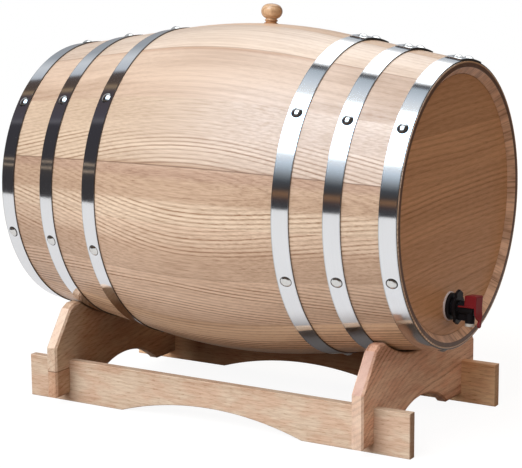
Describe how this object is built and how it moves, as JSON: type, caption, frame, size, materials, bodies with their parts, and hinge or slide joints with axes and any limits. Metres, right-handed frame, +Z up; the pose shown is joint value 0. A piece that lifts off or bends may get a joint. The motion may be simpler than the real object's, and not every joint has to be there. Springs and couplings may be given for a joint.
{
  "type": "oak cask liquor dispenser",
  "caption": "Small oak cask lying in a slotted wooden cradle, with riveted steel hoops, a turned bung on top and a push-lever tap low in the front head.",
  "frame": {"origin": "on the floor, under the middle of the whole object's box", "axes": "+Z up, -Y the end with the tap, X across the cask"},
  "size_m": [0.4158, 0.5936, 0.512],
  "materials": {
    "oak_staves": "honey oak staves under a satin lacquer, grain along the cask",
    "oak_heads": "planed oak head boards, grain across the head, satin",
    "lacquered_oak": "turned oak, glossy lacquer",
    "cradle_oak": "sawn and sanded pale wood, matt",
    "hoop_steel": "bright rolled steel strip",
    "nail_steel": "bright round-headed nails and rivets",
    "black_plastic": "moulded, glossy",
    "red_plastic": "moulded, dark red, glossy",
    "natural_plastic": "undyed, slightly milky",
    "black_rubber": "smooth food-grade rubber"
  },
  "bodies": {
    "cradle": {"left_rail": "cradle_oak", "right_rail": "cradle_oak", "front_saddle": "cradle_oak", "rear_saddle": "cradle_oak"},
    "cask": {"bung_stave": "oak_staves", "stave_01": "oak_staves", "stave_02": "oak_staves", "stave_03": "oak_staves", "stave_04": "oak_staves", "stave_05": "oak_staves", "stave_06": "oak_staves", "stave_07": "oak_staves", "stave_08": "oak_staves", "stave_09": "oak_staves", "stave_10": "oak_staves", "stave_11": "oak_staves", "stave_12": "oak_staves", "stave_13": "oak_staves", "stave_14": "oak_staves", "stave_15": "oak_staves", "front_head_board_1": "oak_heads", "front_head_board_2": "oak_heads", "front_head_board_3": "oak_heads", "front_head_board_4": "oak_heads", "front_head_board_5": "oak_heads", "rear_head_board_1": "oak_heads", "rear_head_board_2": "oak_heads", "rear_head_board_3": "oak_heads", "rear_head_board_4": "oak_heads", "rear_head_board_5": "oak_heads", "front_head_dowels": "oak_heads", "rear_head_dowels": "oak_heads", "front_chime_hoop": "hoop_steel", "front_quarter_hoop": "hoop_steel", "front_bilge_hoop": "hoop_steel", "rear_chime_hoop": "hoop_steel", "rear_quarter_hoop": "hoop_steel", "rear_bilge_hoop": "hoop_steel", "hoop_rivets": "nail_steel", "hoop_nails": "nail_steel", "tap_gland": "natural_plastic", "tap_body": "black_plastic", "tap_spout": "natural_plastic", "tap_diaphragm": "black_rubber"},
    "bung": {"bung": "lacquered_oak"},
    "lever": {"tap_lever": "red_plastic"},
    "valve": {"valve_stem": "natural_plastic", "valve_seal": "black_rubber"}
  },
  "joints": [
    {"name": "cask_lift", "type": "slide", "parent": "cradle", "child": "cask", "axis": [0, 0, 1], "range_m": [0, 0.12]},
    {"name": "bung_pull", "type": "slide", "parent": "cask", "child": "bung", "axis": [0.1392, 0, 0.9903], "range_m": [0, 0.06]},
    {"name": "lever_press", "type": "hinge", "parent": "cask", "child": "lever", "pos_m": [-0.01331, -0.28322, 0.17201], "axis": [-0.9925, 0, 0.1219], "range_deg": [0, 8.5], "stiffness_Nm_per_rad": 0.3, "springref_deg": -5.73},
    {"name": "valve_push", "type": "slide", "parent": "cask", "child": "valve", "axis": [0, 1, 0], "range_m": [0, 0.0019]}
  ],
  "couplings": [
    {"joint": "valve_push", "follows": "lever_press", "m_per_rad": 0.0125}
  ]
}
